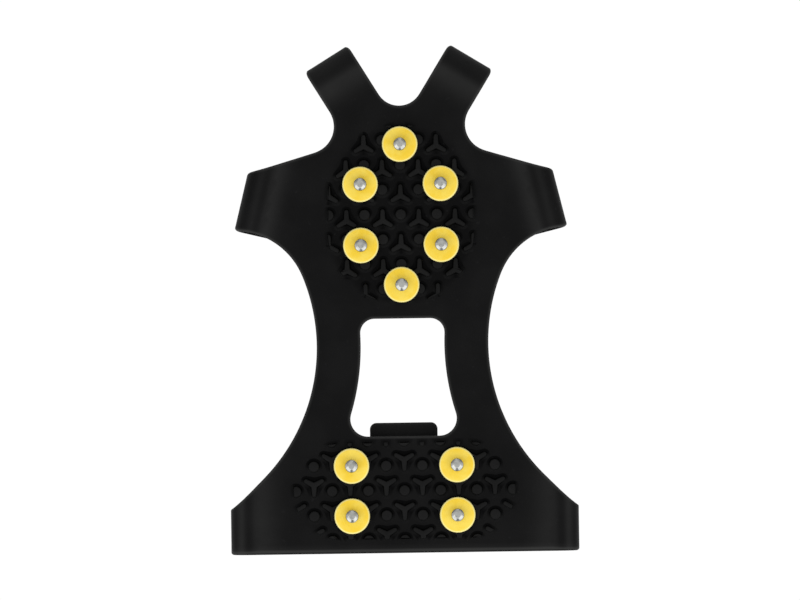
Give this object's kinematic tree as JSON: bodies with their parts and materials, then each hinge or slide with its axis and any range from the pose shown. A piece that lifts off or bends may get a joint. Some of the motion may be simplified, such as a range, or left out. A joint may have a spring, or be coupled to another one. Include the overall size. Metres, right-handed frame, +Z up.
{
  "type": "ice cleat",
  "caption": "Pull-on ice cleat: black elastic overshoe with lugged tread plates, steel studs in yellow washers, straps folded under and a heel pull tab.",
  "frame": {"origin": "on the ground below the middle of the part's box, as it lies stud side up on its folded straps", "axes": "+Y towards the toe straps, +Z up out of the stud side, +X to the right with the toe ahead"},
  "size_m": [0.1474, 0.2152, 0.022],
  "materials": {
    "black_rubber": "satin",
    "grip_yellow": "satin",
    "stud_nickel": "polished",
    "backing_steel": "brushed"
  },
  "bodies": {
    "forefoot": {"forefoot_plate": "black_rubber", "left_arch_bar": "black_rubber", "right_arch_bar": "black_rubber", "left_toe_strap": "black_rubber", "right_toe_strap": "black_rubber", "left_side_strap": "black_rubber", "right_side_strap": "black_rubber", "fore_stud_1": "stud_nickel", "fore_stud_2": "stud_nickel", "fore_stud_3": "stud_nickel", "fore_stud_4": "stud_nickel", "fore_stud_5": "stud_nickel", "fore_stud_6": "stud_nickel", "fore_grip_washer_1": "grip_yellow", "fore_grip_washer_2": "grip_yellow", "fore_grip_washer_3": "grip_yellow", "fore_grip_washer_4": "grip_yellow", "fore_grip_washer_5": "grip_yellow", "fore_grip_washer_6": "grip_yellow", "fore_backing_washer_1": "backing_steel", "fore_backing_washer_2": "backing_steel", "fore_backing_washer_3": "backing_steel", "fore_backing_washer_4": "backing_steel", "fore_backing_washer_5": "backing_steel", "fore_backing_washer_6": "backing_steel"},
    "heel": {"heel_plate": "black_rubber", "left_heel_ear": "black_rubber", "right_heel_ear": "black_rubber", "heel_stud_1": "stud_nickel", "heel_stud_2": "stud_nickel", "heel_stud_3": "stud_nickel", "heel_stud_4": "stud_nickel", "heel_grip_washer_1": "grip_yellow", "heel_grip_washer_2": "grip_yellow", "heel_grip_washer_3": "grip_yellow", "heel_grip_washer_4": "grip_yellow", "heel_backing_washer_1": "backing_steel", "heel_backing_washer_2": "backing_steel", "heel_backing_washer_3": "backing_steel", "heel_backing_washer_4": "backing_steel"},
    "harness": {"instep_saddle": "black_rubber"},
    "heel_band": {"heel_band": "black_rubber"},
    "pull_tab": {"pull_tab": "black_rubber"}
  },
  "joints": [
    {"name": "sole_flex", "type": "hinge", "parent": "forefoot", "child": "heel", "pos_m": [0, -0.0316, 0.0125], "axis": [1, 0, 0], "range_deg": [-60, 60], "stiffness_Nm_per_rad": 0.4, "deforming": ["left_arch_bar", "right_arch_bar"]},
    {"name": "harness_lift", "type": "slide", "parent": "forefoot", "child": "harness", "axis": [0, 0, -1], "range_m": [0, 0.045], "stiffness_N_per_m": 60, "deforming": ["left_toe_strap", "right_toe_strap", "left_side_strap", "right_side_strap"]},
    {"name": "heel_band_swing", "type": "hinge", "parent": "heel", "child": "heel_band", "pos_m": [0, -0.10635, 0.0012], "axis": [-1, 0, 0], "range_deg": [0, 100], "stiffness_Nm_per_rad": 0.05, "deforming": ["left_heel_ear", "right_heel_ear"]},
    {"name": "pull_tab_bend", "type": "hinge", "parent": "heel_band", "child": "pull_tab", "pos_m": [0, -0.06255, 0.0012], "axis": [1, 0, 0], "range_deg": [-50, 25], "stiffness_Nm_per_rad": 0.01}
  ]
}
